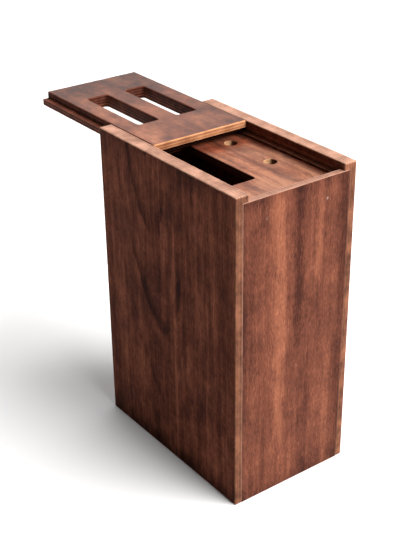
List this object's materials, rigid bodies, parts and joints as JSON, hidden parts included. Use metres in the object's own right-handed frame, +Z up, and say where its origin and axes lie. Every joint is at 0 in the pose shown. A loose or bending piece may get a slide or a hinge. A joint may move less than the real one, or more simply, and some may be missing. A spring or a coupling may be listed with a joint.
{
  "type": "wooden puzzle box",
  "caption": "Tall plywood puzzle box whose slotted lid slides off over the back in side grooves, above a fixed inner board with a long slot and round holes.",
  "frame": {"origin": "centre of the box's flat underside", "axes": "+Z up, +Y the way the lid slides open, -Y the narrow front panel's outward side, +X the right side wall's outward side"},
  "size_m": [0.12, 0.2971, 0.283],
  "materials": {
    "side_wall_stain": "dark walnut stain on plywood, rubbed, satin",
    "end_panel_stain": "mottled red-brown stain on plywood, satin",
    "lid_stain": "rubbed red-brown stain on plywood, satin",
    "inner_board_stain": "brown stain on plywood, matt",
    "brad_steel": "bright steel"
  },
  "bodies": {
    "box": {"left_wall": "side_wall_stain", "right_wall": "side_wall_stain", "front_panel": "end_panel_stain", "back_panel": "end_panel_stain", "bottom_panel": "inner_board_stain", "inner_board": "inner_board_stain", "front_cleat": "inner_board_stain", "back_cleat": "inner_board_stain", "front_brad_left": "brad_steel", "front_brad_right": "brad_steel", "back_brad_left": "brad_steel", "back_brad_right": "brad_steel"},
    "lid": {"sliding_lid": "lid_stain"}
  },
  "joints": [
    {"name": "lid_slide", "type": "slide", "parent": "box", "child": "lid", "axis": [0, 1, 0], "range_m": [-0.1241, 0.06]}
  ]
}
